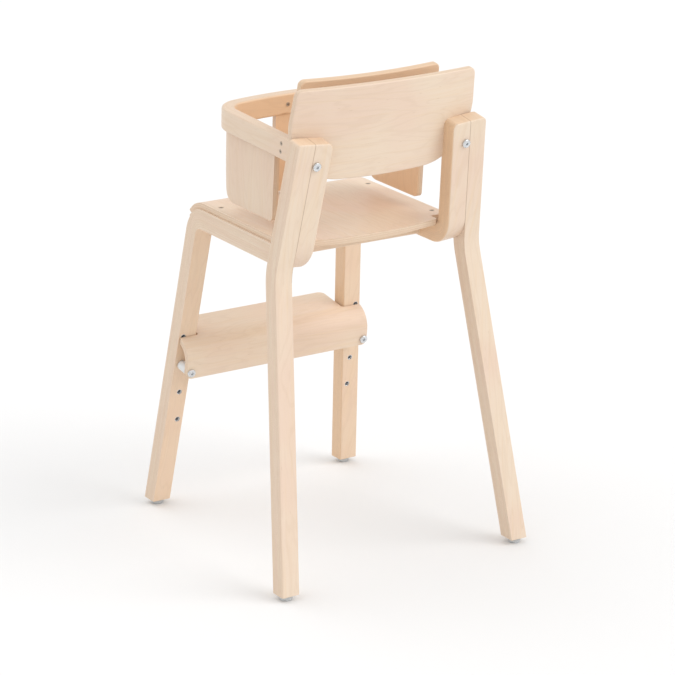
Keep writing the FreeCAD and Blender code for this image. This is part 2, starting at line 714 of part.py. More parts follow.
def save_hoop(bores):
    """The removable hoop: strip, back plate, cheeks, tongue and their screws."""
    cheek = side_panel()
    tongue = crotch_panel()
    insert = arm_insert()
    plug = leaned(rod(INSERT_RADIUS, V(BOLT_X, 0, 0), V(BOLT_X, -27, 0)))
    plate_screws, plate_pockets = driven([arm_screw(z) for z in (638.0, 626.0)])
    cheek_screws, cheek_pockets = driven([cheek_screw(y) for y in (-20.0, 50.0)])
    tongue_screws, tongue_pockets = driven([tongue_screw(x) for x in (8.0, -8.0)])

    strip = hoop().cut(bores)
    for piece in (cheek, plug, plate_pockets, cheek_pockets):
        strip = strip.cut(piece).cut(mirrored(piece))
    save("hoop", strip.cut(tongue).cut(tongue_pockets))
    save("hoop_back_plate", back_plate().cut(plate_pockets).cut(mirrored(plate_pockets)))
    save_pair("hoop_side_panel", cheek.cut(cheek_pockets))
    save("crotch_panel", tongue.cut(tongue_pockets))
    save_pair("hoop_insert", insert)
    save_pair("back_plate_screws", plate_screws)
    save_pair("side_panel_screws", cheek_screws)
    save("crotch_panel_screws", tongue_screws)


def driven(screws):
    """The screws of a list of (face, way, length, head radius), and the wood they take away."""
    bodies = [wood_screw(*screw) for screw in screws]
    pockets = [screw_pocket(*screw) for screw in screws]
    return Part.makeCompound(bodies), Part.makeCompound(pockets)


def seat_screw(x, y):
    """Down through the seat into the rail of the side frame."""
    return V(x, y, rail_top_z(y) + SEAT_LIFT + SEAT_THICK - 0.3), V(0, 0, -1), 28, 4.0


def arm_screw(z):
    """Through the arm into the end of the back plate."""
    y = BACK_PLATE_END_Y - UPRIGHT_SLOPE * (BACK_PLATE_HIGH_Z - z) - BACK_PLATE_THICK / 2
    return V(HOOP_HALF_WIDTH, y, z), V(-1, 0, 0), 40, 3.2


def hoop_middle_z(y):
    return HOOP_TOP_Z - y * tan(radians(HOOP_TILT)) - HOOP_HEIGHT / 2


def cheek_screw(y):
    """From the hoop's inner face into the side panel."""
    return V(HOOP_HALF_WIDTH - HOOP_THICK, y, hoop_middle_z(y)), V(1, 0, 0), 10, 3.2


def tongue_screw(x):
    """From the hoop's inner face into the crotch panel."""
    back = HOOP_FRONT_RADIUS - HOOP_THICK
    y = HOOP_FRONT_Y + HOOP_FRONT_RADIUS - sqrt(back ** 2 - x ** 2)
    return V(x, y, hoop_middle_z(y)), V(0, -1, 0), 10, 3.2


main()
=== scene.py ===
# %% [markdown]
# # A child's high chair in bent birch
#
# The chair is made of bent, glued birch strips and pressed birch ply, held by a few zinc bolts.
# Its shapes are already settled in the frame, so this lesson is mostly about finish:
# lacquered wood whose veneers follow every bend, small metal and plastic fittings modelled by
# hand, and a soft, pale studio.

# %% Load the frame
import json
import math

import bmesh
import bpy
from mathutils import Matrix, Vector


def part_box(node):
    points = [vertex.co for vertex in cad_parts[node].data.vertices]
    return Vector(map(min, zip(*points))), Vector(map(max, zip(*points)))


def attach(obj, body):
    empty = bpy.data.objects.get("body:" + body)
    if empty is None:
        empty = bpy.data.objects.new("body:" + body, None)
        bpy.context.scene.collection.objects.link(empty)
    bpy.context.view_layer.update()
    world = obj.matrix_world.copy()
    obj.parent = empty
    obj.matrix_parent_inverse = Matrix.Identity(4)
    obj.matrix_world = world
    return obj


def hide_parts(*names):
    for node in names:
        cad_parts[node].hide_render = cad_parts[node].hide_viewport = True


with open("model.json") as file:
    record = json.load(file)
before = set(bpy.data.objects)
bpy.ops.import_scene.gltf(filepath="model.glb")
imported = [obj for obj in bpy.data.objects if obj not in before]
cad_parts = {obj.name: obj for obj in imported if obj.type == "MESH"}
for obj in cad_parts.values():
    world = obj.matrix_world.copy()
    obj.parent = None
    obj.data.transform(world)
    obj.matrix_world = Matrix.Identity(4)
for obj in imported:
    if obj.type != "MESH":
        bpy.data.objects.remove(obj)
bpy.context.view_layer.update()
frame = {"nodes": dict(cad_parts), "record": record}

MM = 0.001
nodes = frame["nodes"]

# %% [markdown]
# ## A short way to write materials
#
# A material is a tree of small nodes. Adding each one by hand takes many lines, so a little
# class adds a node, sets it up and joins its inputs in one call. Plain numbers go to a node's
# own socket and sockets are linked.

# %% A node-tree writer


class Finish:
    """One material's node tree, with the Principled shader at its end."""

    def __init__(self, name, **shader_values):
        self.material = bpy.data.materials.new(name)
        self.material.use_nodes = True
        self.tree = self.material.node_tree
        self.shader = self.tree.nodes["Principled BSDF"]
        for socket, value in shader_values.items():
            self.shader.inputs[socket.replace("_", " ")].default_value = value

    def put(self, node, socket, value):
        if isinstance(value, bpy.types.NodeSocket):
            self.tree.links.new(value, node.inputs[socket])
        else:
            node.inputs[socket].default_value = value

    def add(self, kind, settings=None, **inputs):
        node = self.tree.nodes.new("ShaderNode" + kind)
        for name, value in (settings or {}).items():
            setattr(node, name, value)
        for socket, value in inputs.items():
            self.put(node, socket.replace("_", " "), value)
        return node

    def calc(self, operation, a, b=0.0, c=0.0, clamp=False):
        node = self.add("Math", {"operation": operation, "use_clamp": clamp})
        for i, value in enumerate((a, b, c)):
            self.put(node, i, value)
        return node.outputs[0]

    def place(self):
        """The point on the piece, as three numbers."""
        where = self.add("TexCoord").outputs["Object"]
        return self.add("SeparateXYZ", Vector=where).outputs

    def facing(self):
        """The surface's direction on the piece, as three numbers."""
        normal = self.add("TexCoord").outputs["Normal"]
        return self.add("SeparateXYZ", Vector=normal).outputs

    def vector(self, x, y, z):
        return self.add("CombineXYZ", X=x, Y=y, Z=z).outputs[0]

    def noise(self, vector, scale, detail=3.0, roughness=0.55, distortion=0.0):
        return self.add("TexNoise", Vector=vector, Scale=scale, Detail=detail,
                        Roughness=roughness, Distortion=distortion).outputs["Fac"]

    def remap(self, value, low, high, to_low=0.0, to_high=1.0):
        node = self.add("MapRange", {"interpolation_type": "SMOOTHSTEP"}, Value=value)
        for name, number in (("From Min", low), ("From Max", high), ("To Min", to_low), ("To Max", to_high)):
            self.put(node, name, number)
        return node.outputs[0]

    def blend(self, factor, a, b, mode="MIX"):
        node = self.add("Mix", {"data_type": "RGBA", "blend_type": mode})
        self.put(node, 0, factor)
        self.put(node, 6, a)
        self.put(node, 7, b)
        return node.outputs[2]

    def shade(self, socket, value):
        self.put(self.shader, socket, value)

    def bump(self, height, distance, strength=1.0):
        node = self.add("Bump", Height=height, Strength=strength, Distance=distance)
        self.tree.links.new(node.outputs[0], self.shader.inputs["Normal"])


# %% [markdown]
# ## Lacquered birch
#
# Bent and pressed birch is a stack of thin veneers. On a broad face only the outer veneer shows,
# with faint streaks and a soft watery figure that run the length of the strip. On a sawn edge
# the whole stack shows: each veneer has its own tone and a hair-thin glue line lies between.
# So the finish needs three coordinates that bend with the piece: `across` the strip, `along` it,
# and `deep`, the distance in from its outer face. A fourth value, `edge`, is 1 where the surface
# is a sawn edge. A fifth sets how much warm tan goes on: painted bounce light on faces turned in
# towards the chair, an even amount on some whole pieces, and the warmer end grain at the uprights'
# tops. Each piece works those out for itself, and one function paints the wood.

# %% Paint birch from bent coordinates
PALE = (0.794, 0.652, 0.512, 1)
ROSY = (0.783, 0.606, 0.480, 1)
HONEY = (0.772, 0.588, 0.400, 1)
# TAN is the warm colour painted as bounce light on inward faces, and the warmer end grain
TAN = (0.830, 0.575, 0.365, 1)
STREAK = (0.560, 0.390, 0.255, 1)
EDGE_TONE = (0.640, 0.465, 0.310, 1)
GLUE = (0.300, 0.180, 0.100, 1)
VENEER = 1.5 * MM
GLUE_LINE = 0.10


def birch(name, coordinates, ply=False, seed=0.0, joint=None, painted_shade=0.0):
    """Clear-lacquered birch; coordinates(finish) gives across, deep, along, edge and the warm tone with
    painted bounce light; the last argument darkens the whole piece as painted shade.
    """
    wood = Finish(name, Roughness=0.42, Specular_IOR_Level=0.42, Coat_Weight=0.10, Coat_Roughness=0.25)
    across, deep, along, edge, warm_tone_and_painted_bounce = coordinates(wood)

    # every veneer is its own sheet of wood
    sheet = wood.calc("ADD", wood.calc("DIVIDE", deep, VENEER), 0.3)
    number = wood.calc("FLOOR", wood.calc("MULTIPLY", sheet, edge))
    number_seed = wood.calc("ADD", number, seed)
    shift = wood.add("TexWhiteNoise", {"noise_dimensions": "1D"}, W=number_seed).outputs["Value"]
    if ply:
        crossed = wood.calc("MULTIPLY", wood.calc("MODULO", wood.calc("ABSOLUTE", number), 2.0), edge)
    sideways = wood.calc("ADD", across, wood.calc("MULTIPLY", shift, 0.9))
    sheet_depth = wood.calc("MULTIPLY", deep, 0.6)

    def drawn_out(across_scale, deep_scale, along_scale):
        """Bent coordinates, stretched so that a pattern runs along the strip."""
        return wood.vector(wood.calc("MULTIPLY", sideways, across_scale),
                           wood.calc("MULTIPLY", sheet_depth, deep_scale),
                           wood.calc("MULTIPLY", along, along_scale))

    # fine fibres, broad streaks and a slow watery figure, all drawn out along the strip
    fibre = wood.noise(drawn_out(1500.0, 900.0, 42.0), 1.0, 2.0, 0.6)
    streaks = wood.noise(drawn_out(260.0, 160.0, 7.0), 1.0, 4.0, 0.62, 0.35)
    slow = wood.vector(wood.calc("MULTIPLY", sideways, 26.0), seed, wood.calc("MULTIPLY", along, 5.0))
    figure = wood.noise(slow, 1.0, 2.0, 0.5, 0.6)
    rings = wood.calc("SINE", wood.calc("MULTIPLY", figure, 58.0))
    cloud = wood.noise(wood.vector(sideways, deep, along), 9.0, 2.0, 0.5)

    tone = wood.blend(wood.remap(cloud, 0.35, 0.68), PALE, ROSY)
    tone = wood.blend(wood.remap(streaks, 0.42, 0.78, 0.0, 0.55), tone, HONEY)
    # warm tan: painted bounce light on faces turned in towards the chair, an even amount on some pieces, and
    # the warmer end grain at the uprights' tops
    tone = wood.blend(wood.calc("MULTIPLY", warm_tone_and_painted_bounce, 0.9), tone, TAN)
    tone = wood.blend(wood.calc("MULTIPLY", wood.remap(rings, 0.30, 1.0), 0.10), tone, STREAK)
    tone = wood.blend(wood.remap(fibre, 0.58, 0.80, 0.0, 0.28), tone, STREAK)

    # painted shade: the whole piece is mixed darker where it takes less light, the left cheek more than the
    # right
    if painted_shade:
        tone = wood.blend(painted_shade, tone, STREAK)

    # a few small dark flecks, short along the grain
    flecks = wood.add("TexVoronoi", {"feature": "F1"}, Scale=1.0, Randomness=1.0,
                      Vector=drawn_out(130.0, 130.0, 26.0)).outputs["Distance"]
    tone = wood.blend(wood.remap(flecks, 0.03, 0.09, 0.35, 0.0), tone, STREAK)

    # sawn edges: a tone for each veneer and a dark line of glue
    part = wood.calc("FRACT", sheet)
    from_middle = wood.calc("ABSOLUTE", wood.calc("SUBTRACT", part, 0.5))
    line = wood.calc("SUBTRACT", 1.0, wood.calc("LESS_THAN", from_middle, 0.5 - GLUE_LINE / 2))
    sheet_tone = wood.calc("MULTIPLY", shift, 0.35)
    if ply:
        sheet_tone = wood.calc("ADD", sheet_tone, wood.calc("MULTIPLY", crossed, 0.38))
    tone = wood.blend(wood.calc("MULTIPLY", sheet_tone, edge), tone, EDGE_TONE)
    tone = wood.blend(wood.calc("MULTIPLY", wood.calc("MULTIPLY", line, edge), 0.42), tone, GLUE)
    if joint:
        tone = wood.blend(wood.calc("MULTIPLY", joint(wood), 0.62), tone, GLUE)
    wood.shade("Base Color", tone)

    # lacquer lies smoother on faces than on end grain, and the fibres show through it a little
    dull = wood.remap(streaks, 0.3, 0.75, 0.37, 0.47)
    wood.shade("Roughness", wood.calc("ADD", dull, wood.calc("MULTIPLY", edge, 0.10)))
    relief = wood.calc("ADD", wood.calc("MULTIPLY", fibre, 0.6), wood.calc("MULTIPLY", streaks, 0.5))
    relief = wood.calc("SUBTRACT", relief, wood.calc("MULTIPLY", wood.calc("MULTIPLY", line, edge), 0.8))
    wood.bump(relief, 0.00006, 0.55)
    print(name, "is painted", "as ply" if ply else "as bent strips")
    return wood.material


# %% [markdown]
# ## How each bend runs
#
# Most strips are drawn in the side view, so their faces are slanted lines y = start + slope * z.
# The distance behind such a line is one product. Two distances joined by a smooth minimum round
# an outward bend, and a smooth maximum rounds an inward one, so the veneers turn the corner.
# The slopes are the chair's own: the legs' rake, the backrest's recline and the splay.

# %% Distances behind the slanted faces
THICK = 27 * MM
BEND = 34 * MM
SPLAY = 0.0886
FRONT_LEG = (-0.2032 - THICK * math.sqrt(1 + 0.1716 ** 2), 0.1716)
REAR_LEG = (0.2302 - THICK * math.sqrt(1 + 0.1784 ** 2), -0.1784)
KNEE = Vector((0, 0.2302 - 0.1784 * 0.459, 0.459))
RECLINE = 0.1933
UPRIGHT = (KNEE.y - RECLINE * KNEE.z - THICK * math.sqrt(1 + RECLINE ** 2), RECLINE)
RAIL_TOP = (0.4913, 0.0175)
UPRIGHT_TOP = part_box("rear_leg_left")[1].z - 20 * MM
leg_low, leg_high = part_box("rear_leg_left")
LEG_WIDTH = 28 * MM
JOINT_PLANE = leg_high.x + SPLAY * leg_low.z - LEG_WIDTH * math.sqrt(1 + SPLAY ** 2)
print("the glued joint starts", round(JOINT_PLANE / MM, 2), "mm from the middle, at the floor")


def behind(wood, y, z, face):
    """Distance behind a slanted face, given where it meets the floor and its slope."""
    start, slope = face
    flat = wood.calc("SUBTRACT", wood.calc("SUBTRACT", y, start), wood.calc("MULTIPLY", z, slope))
    return wood.calc("DIVIDE", flat, math.sqrt(1 + slope * slope))


def below_rail(wood, y, z, lift=0.0):
    """Distance under the seat rail's top."""
    height, slope = RAIL_TOP
    flat = wood.calc("SUBTRACT", wood.calc("SUBTRACT", height + lift, z), wood.calc("MULTIPLY", y, slope))
    return wood.calc("DIVIDE", flat, math.sqrt(1 + slope * slope))


def from_centre(wood, x, z):
    """Distance out from the leaning side, so that both sides get their own grain."""
    return wood.calc("ADD", x, wood.calc("MULTIPLY", z, SPLAY))


def facing_in(wood, x, normal):
    """1 on faces that look towards the middle of the chair, where warm bounce light is painted."""
    inward = wood.calc("MULTIPLY", wood.calc("SIGN", x), wood.calc("MULTIPLY", normal[0], -1.0))
    return wood.remap(inward, 0.3, 0.9)


def top_end(wood, z, normal):
    """1 on the end grain at an upright's top."""
    up = wood.remap(normal[2], 0.70, 0.92, 0.0, 0.55)
    return wood.calc("MULTIPLY", up, wood.calc("GREATER_THAN", z, UPRIGHT_TOP))


def frame_coordinates(wood):
    x, y, z = wood.place()
    normal = wood.facing()
    bend = wood.calc("SMOOTH_MIN", behind(wood, y, z, FRONT_LEG), below_rail(wood, y, z), BEND)
    deep = wood.calc("SMOOTH_MAX", bend, behind(wood, y, z, UPRIGHT), BEND)
    along = wood.calc("ADD", y, z)
    edge = wood.remap(wood.calc("ABSOLUTE", normal[0]), 0.45, 0.85)
    # painted warm bounce light on the front legs' rear faces and the rail's underside, at a little under
    # half strength and none on sawn edges
    inside = wood.calc("MULTIPLY", wood.remap(deep, 0.022, 0.026), wood.calc("LESS_THAN", y, -0.05))
    inside = wood.calc("MULTIPLY", inside, wood.calc("SUBTRACT", 0.45, wood.calc("MULTIPLY", edge, 0.45)))
    warm_tone_and_painted_bounce = wood.calc("ADD", facing_in(wood, x, normal), top_end(wood, z, normal), clamp=True)
    warm_tone_and_painted_bounce = wood.calc("ADD", warm_tone_and_painted_bounce, inside, clamp=True)
    return from_centre(wood, x, z), deep, along, edge, warm_tone_and_painted_bounce


def rear_leg_coordinates(wood):
    x, y, z = wood.place()
    normal = wood.facing()
    deep = wood.calc("SMOOTH_MIN", behind(wood, y, z, REAR_LEG), behind(wood, y, z, UPRIGHT), BEND)
    edge = wood.remap(wood.calc("ABSOLUTE", normal[0]), 0.45, 0.85)
    return from_centre(wood, x, z), deep, z, edge, top_end(wood, z, normal)


def glue_joint(wood, beyond_face):
    """The dark line where the two laminations of a side are glued together."""
    x, y, z = wood.place()
    out = wood.calc("ADD", wood.calc("ABSOLUTE", x), wood.calc("MULTIPLY", z, SPLAY))
    away = wood.calc("ABSOLUTE", wood.calc("SUBTRACT", out, JOINT_PLANE))
    near = wood.remap(away, 0.2 * MM, 0.8 * MM, 1.0, 0.0)
    sideways = wood.calc("ABSOLUTE", wood.facing()[0])
    near = wood.calc("MULTIPLY", near, wood.remap(sideways, 0.3, 0.6, 1.0, 0.0))
    return wood.calc("MULTIPLY", near, beyond_face(wood, y, z))


def upright_joint(wood):
    return glue_joint(wood, lambda w, y, z: w.calc("GREATER_THAN", behind(w, y, z, UPRIGHT), -0.001))


def leg_joint(wood):
    return glue_joint(wood, lambda w, y, z: w.calc("GREATER_THAN", z, KNEE.z - 0.012))


def cross_rail_coordinates(wood):
    x, y, z = wood.place()
    normal = wood.facing()
    edge = wood.remap(wood.calc("ABSOLUTE", normal[2]), 0.45, 0.85)
    return z, wood.calc("ADD", y, 0.2), x, edge, 0.3


for material_name, coordinates, names, seed, joint in (
        ("birch_side_frame", frame_coordinates, ("side_frame_left", "side_frame_right"), 3.0, upright_joint),
        ("birch_rear_leg", rear_leg_coordinates, ("rear_leg_left", "rear_leg_right"), 11.0, leg_joint),
        ("birch_cross_rail", cross_rail_coordinates, ("front_cross_rail", "rear_cross_rail"), 17.0, None)):
    material = birch(material_name, coordinates, seed=seed, joint=joint)
    for name in names:
        nodes[name].data.materials.clear()
        nodes[name].data.materials.append(material)
    print(material_name, "on", names)

# %% [markdown]
# ## Pressed ply
#
# The seat, backrest, back plate, cheeks, tongue and footrest are ply, pressed in a mould. Every
# second veneer is turned crosswise, so on the edge dark end-grain stripes alternate with pale
# ones. The face grain runs across the chair on the backrest and the tread, and front to back
# on the seat.

# %% Coordinates for the ply pieces
PLATE_RADIUS = 0.842
TILT = math.radians(3.3)
RAKE = 0.1716
SEAT_TOP = 9.15 * MM
SEAT_FRONT = -155.5 * MM
CHEEK_FACE = 130 * MM
TREAD_TOP = Vector((0, -0.1541, 0.286))
FLANGE_HEIGHT = 240 * MM


def upright_axes(wood, y, z, slope):
    """Distance behind a plane through the axis of a reclined plate, and up it."""
    size = math.sqrt(1 + slope * slope)
    back = wood.calc("DIVIDE", wood.calc("SUBTRACT", y, wood.calc("MULTIPLY", z, slope)), size)
    up = wood.calc("DIVIDE", wood.calc("ADD", z, wood.calc("MULTIPLY", y, slope)), size)
    return back, up


def plate_coordinates(node, warm_tone_and_painted_bounce):
    """A bowed plate: veneers are parts of cylinders about one reclined axis."""
    low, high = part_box(node)
    top_rear = (high.y - RECLINE * high.z) / math.sqrt(1 + RECLINE ** 2)

    def coordinates(wood):
        x, y, z = wood.place()
        normal = wood.facing()
        back, up = upright_axes(wood, y, z, RECLINE)
        sag = wood.calc("MULTIPLY", wood.calc("POWER", x, 2.0), 1 / (2 * PLATE_RADIUS))
        deep = wood.calc("SUBTRACT", top_rear, wood.calc("ADD", back, sag))
        flat = wood.calc("SUBTRACT", normal[1], wood.calc("MULTIPLY", normal[2], RECLINE))
        edge = wood.remap(wood.calc("ABSOLUTE", flat), 0.80, 0.50)
        return up, deep, x, edge, warm_tone_and_painted_bounce

    print(node, "has its rear face", round(top_rear / MM, 1), "mm behind the recline axis")
    return coordinates


def seat_coordinates(wood):
    x, y, z = wood.place()
    normal = wood.facing()
    front = wood.calc("SUBTRACT", y, SEAT_FRONT)
    deep = wood.calc("SMOOTH_MIN", below_rail(wood, y, z, SEAT_TOP), front, 50 * MM)
    side = wood.calc("ABSOLUTE", normal[0])
    edge = wood.remap(wood.calc("MAXIMUM", side, normal[1]), 0.45, 0.80)
    return x, deep, wood.calc("SUBTRACT", y, z), edge, 0.15


def hoop_coordinates(wood):
    x, y, z = wood.place()
    normal = wood.facing()
    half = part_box("hoop")[1].x
    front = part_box("hoop")[0].y
    arm = wood.calc("SUBTRACT", half, wood.calc("ABSOLUTE", x))
    centre = wood.calc("SUBTRACT", y, front)
    nose = wood.calc("SUBTRACT", centre, wood.calc("POWER", x, 2.0))
    deep = wood.calc("SMOOTH_MIN", arm, nose, 0.045)
    level = wood.calc("ADD", z, wood.calc("MULTIPLY", y, math.tan(TILT)))
    edge = wood.remap(wood.calc("ABSOLUTE", normal[2]), 0.45, 0.85)
    way = wood.calc("ADD", x, wood.calc("ABSOLUTE", y))
    # painted warm bounce light on the hoop's faces turned in towards the chair and towards the back
    inside = wood.calc("MAXIMUM", facing_in(wood, x, normal), wood.remap(normal[1], 0.3, 0.9))
    return level, deep, way, edge, inside


def cheek_coordinates(wood):
    x, y, z = wood.place()
    normal = wood.facing()
    out = wood.calc("SUBTRACT", CHEEK_FACE, wood.calc("ABSOLUTE", x))
    edge = wood.remap(wood.calc("ABSOLUTE", normal[0]), 0.72, 0.50)
    # painted warm bounce light on the cheek's inner face
    return y, out, z, edge, wood.remap(out, 0.004, 0.008)


def tongue_coordinates(wood):
    x, y, z = wood.place()
    normal = wood.facing()
    edge = wood.remap(wood.calc("ABSOLUTE", normal[1]), 0.72, 0.50)
    # painted warm bounce light on the tongue's rear face
    return x, wood.calc("ADD", y, 0.12), z, edge, wood.remap(normal[1], 0.3, 0.8)


def step_coordinates(wood):
    x, y, z = wood.place()
    normal = wood.facing()
    low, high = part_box("footrest")
    back, up = upright_axes(wood, y, z, RAKE)
    size = math.sqrt(1 + RAKE ** 2)
    rear = (high.y - RAKE * FLANGE_HEIGHT) / size
    top = (TREAD_TOP.z + RAKE * TREAD_TOP.y) / size
    deep = wood.calc("SMOOTH_MIN", wood.calc("SUBTRACT", rear, back), wood.calc("SUBTRACT", top, up), BEND)
    edge = wood.remap(wood.calc("ABSOLUTE", normal[0]), 0.45, 0.80)
    return wood.calc("SUBTRACT", back, up), deep, x, edge, 0.1


# plate_coordinates' number paints warm bounce light over the whole back plate; the last number in each row
# darkens the whole piece as painted shade, the left cheek more than the right
for node, coordinates, seed, painted_shade in (
        ("backrest", plate_coordinates("backrest", 0.0), 23.0, 0.0),
        ("hoop_back_plate", plate_coordinates("hoop_back_plate", 0.75), 29.0, 0.08),
        ("seat_shell", seat_coordinates, 31.0, 0.0),
        ("hoop", hoop_coordinates, 37.0, 0.15),
        ("hoop_side_panel_left", cheek_coordinates, 41.0, 0.18),
        ("hoop_side_panel_right", cheek_coordinates, 43.0, 0.0),
        ("crotch_panel", tongue_coordinates, 47.0, 0.08),
        ("footrest", step_coordinates, 53.0, 0.0)):
    material = birch("birch_" + node, coordinates, ply=node != "hoop", seed=seed, painted_shade=painted_shade)
    nodes[node].data.materials.clear()
    nodes[node].data.materials.append(material)

# %% [markdown]
# ## Zinc and plastic
#
# The bolts and the sleeves in the legs are bright zinc: a cool grey metal with a fine turned
# finish and a little cloudiness. The sleeves in the arms are duller and the wood screws have gone
# brown. The glides are matt grey plastic and the spacers a paler one. Each is one function of a
# colour, so that all the metal shares the same surface.

# %% Metal and plastic finishes


def zinc(name, colour, roughness):
    metal = Finish(name, Metallic=1.0, Roughness=roughness)
    where = metal.add("TexCoord").outputs["Object"]
    cloud = metal.noise(where, 420.0, 4.0, 0.6)
    turned = metal.noise(where, 2600.0, 2.0, 0.5)
    dark = tuple(0.72 * c for c in colour) + (1,)
    metal.shade("Base Color", metal.blend(metal.remap(cloud, 0.3, 0.75), tuple(colour) + (1,), dark))
    metal.shade("Roughness", metal.remap(cloud, 0.3, 0.8, roughness, roughness + 0.18))
    metal.bump(turned, 0.00002, 0.5)
    return metal.material


def matt_plastic(name, colour):
    plastic = Finish(name, Roughness=0.5, Specular_IOR_Level=0.4)
    where = plastic.add("TexCoord").outputs["Object"]
    grain = plastic.noise(where, 1800.0, 2.0, 0.5)
    patch = plastic.noise(where, 60.0, 3.0, 0.5)
    dull = tuple(0.86 * c for c in colour) + (1,)
    plastic.shade("Base Color", plastic.blend(plastic.remap(patch, 0.3, 0.75), tuple(colour) + (1,), dull))
    plastic.shade("Roughness", plastic.remap(grain, 0.3, 0.7, 0.42, 0.60))
    plastic.bump(grain, 0.00003, 0.5)
    return plastic.material


bright_zinc = zinc("bright_zinc", (0.78, 0.80, 0.82), 0.22)
dull_zinc = zinc("dull_zinc", (0.46, 0.42, 0.36), 0.42)
aged_zinc = zinc("aged_zinc", (0.52, 0.44, 0.36), 0.36)
grey_plastic = matt_plastic("grey_plastic", (0.60, 0.62, 0.63))
pale_plastic = matt_plastic("pale_plastic", (0.78, 0.79, 0.79))
print("metal and plastic finishes are mixed")

# %% [markdown]
# ## Fittings by hand
#
# The chair comes apart with ordinary hardware: bolts with a domed head and a hexagon socket,
# countersunk wood screws, threaded sleeves set into the legs, spacers behind the tread, and
# plastic glides. Their plain shapes are in the frame already; here each kind is modelled once,
# standing on the floor with its head up, and a copy is put wherever the frame has one. A few
# helpers select faces by where they are, since every edit acts on what is selected.

# %% Helpers for hand modelling


def start(adder, **values):
    """Add a primitive with nothing else selected, and open it for editing."""
    bpy.ops.object.select_all(action="DESELECT")
    bpy.context.tool_settings.mesh_select_mode = (True, False, False)
    adder(**values)
    bpy.ops.object.mode_set(mode="EDIT")
    return bpy.context.object


def close(piece):
    """Merge doubles, turn the faces outwards and leave edit mode."""
    bpy.ops.mesh.select_all(action="SELECT")
    bpy.ops.mesh.remove_doubles(threshold=0.01 * MM)
    bpy.ops.mesh.normals_make_consistent(inside=False)
    bpy.ops.object.mode_set(mode="OBJECT")
    return piece


def pick_faces(piece, test):
    mesh = bmesh.from_edit_mesh(piece.data)
    bpy.context.tool_settings.mesh_select_mode = (False, False, True)
    for face in mesh.faces:
        face.select_set(test(face.calc_center_median(), face.normal))
    mesh.select_flush_mode()
    bmesh.update_edit_mesh(piece.data)


def pick_edges(piece, test):
    mesh = bmesh.from_edit_mesh(piece.data)
    bpy.context.tool_settings.mesh_select_mode = (False, True, False)
    bpy.ops.mesh.select_all(action="DESELECT")
    for edge in mesh.edges:
        edge.select_set(all(test(v.co) for v in edge.verts))
    mesh.select_flush_mode()
    bmesh.update_edit_mesh(piece.data)


def draw(down, scale=1.0):
    """Pull the selected end further down, and widen or narrow it."""
    bpy.ops.mesh.extrude_region_move(TRANSFORM_OT_translate={"value": (0, 0, -down)})
    bpy.ops.transform.resize(value=(scale, scale, 1))


def thread(length, pitch, root, crest, taper=1.0):
    """Draw ridges of a thread on the selected end, which starts at the root's radius."""
    turns = int(length / pitch)
    shrink = taper ** (1 / turns)
    for _ in range(turns):
        draw(0.25 * pitch, crest / root)
        draw(0.20 * pitch)
        draw(0.25 * pitch, shrink * root / crest)
        draw(0.30 * pitch)


def cut(piece, cutter):
    """Take a closed shape out of a piece."""
    bpy.ops.object.select_all(action="DESELECT")
    bpy.context.view_layer.objects.active = piece
    piece.select_set(True)
    modifier = piece.modifiers.new("cut", "BOOLEAN")
    modifier.operation = "DIFFERENCE"
    modifier.solver = "EXACT"
    modifier.object = cutter
    bpy.ops.object.modifier_apply(modifier="cut")
    bpy.data.objects.remove(cutter, do_unlink=True)


def apply_modifier(piece, kind, **values):
    bpy.ops.object.select_all(action="DESELECT")
    bpy.context.view_layer.objects.active = piece
    piece.select_set(True)
    modifier = piece.modifiers.new(kind, kind)
    for name, value in values.items():
        setattr(modifier, name, value)
    bpy.ops.object.modifier_apply(modifier=kind)


def soften(piece, width, segments, degrees):
    """Round the edges that are sharper than an angle."""
    apply_modifier(piece, "BEVEL", width=width, segments=segments, limit_method="ANGLE",
                   angle_limit=math.radians(degrees))


def smooth(piece, degrees=35):
    bpy.ops.object.select_all(action="DESELECT")
    bpy.context.view_layer.objects.active = piece
    piece.select_set(True)
    bpy.ops.object.shade_smooth_by_angle(angle=math.radians(degrees))
    size = [round(side / MM, 1) for side in piece.dimensions]
    print(piece.name, len(piece.data.polygons), "faces", size, "mm")
    return piece


# %% [markdown]
# ## Bolt
#
# A bolt's head is a short disc whose upper rim is rounded into a low dome. The socket is a
# six-sided hole, easiest as a cut with a six-sided bar. The shank grows out of the underside:
# inset a ring, pull the middle down plain, then ring after ring for the thread, and narrow the tip.

# %% Model a bolt


def bolt(name, length, threaded):
    head, crown, shank = 6.5 * MM, 3.6 * MM, 3.0 * MM
    piece = start(bpy.ops.mesh.primitive_cylinder_add, vertices=36, radius=head, depth=crown,
                  location=(0, 0, crown / 2))
    piece.name = name
    bpy.ops.object.mode_set(mode="OBJECT")
    bpy.ops.object.transform_apply(location=True, rotation=False, scale=False)
    bpy.ops.object.mode_set(mode="EDIT")
    pick_edges(piece, lambda co: co.z > crown - 0.01 * MM)
    bpy.ops.mesh.bevel(offset=1.7 * MM, segments=5, profile=0.55)
    pick_edges(piece, lambda co: co.z < 0.01 * MM and co.xy.length > head - 0.1 * MM)
    bpy.ops.mesh.bevel(offset=0.25 * MM, segments=2)
    pick_faces(piece, lambda co, n: n.z < -0.9 and co.xy.length < head / 2)
    bpy.ops.mesh.inset(thickness=head - shank - 0.25 * MM)
    draw(length - threaded)
    thread(threaded - 1.0 * MM, 1.0 * MM, shank * 0.86, shank)
    draw(0.9 * MM, 0.78)
    close(piece)
    socket = start(bpy.ops.mesh.primitive_cylinder_add, vertices=6, radius=2.4 * MM, depth=2 * 2.4 * MM,
                   location=(0, 0, crown))
    close(socket)
    cut(piece, socket)
    soften(piece, 0.12 * MM, 2, 40)
    return smooth(piece)


# %% [markdown]
# ## Wood screw
#
# A countersunk screw is a cone whose wide end lies flush with the wood. The cross in it is two
# narrow wedges cut one after the other, and the shank is drawn out of the small end, tapering
# to a point.

# %% Model a wood screw


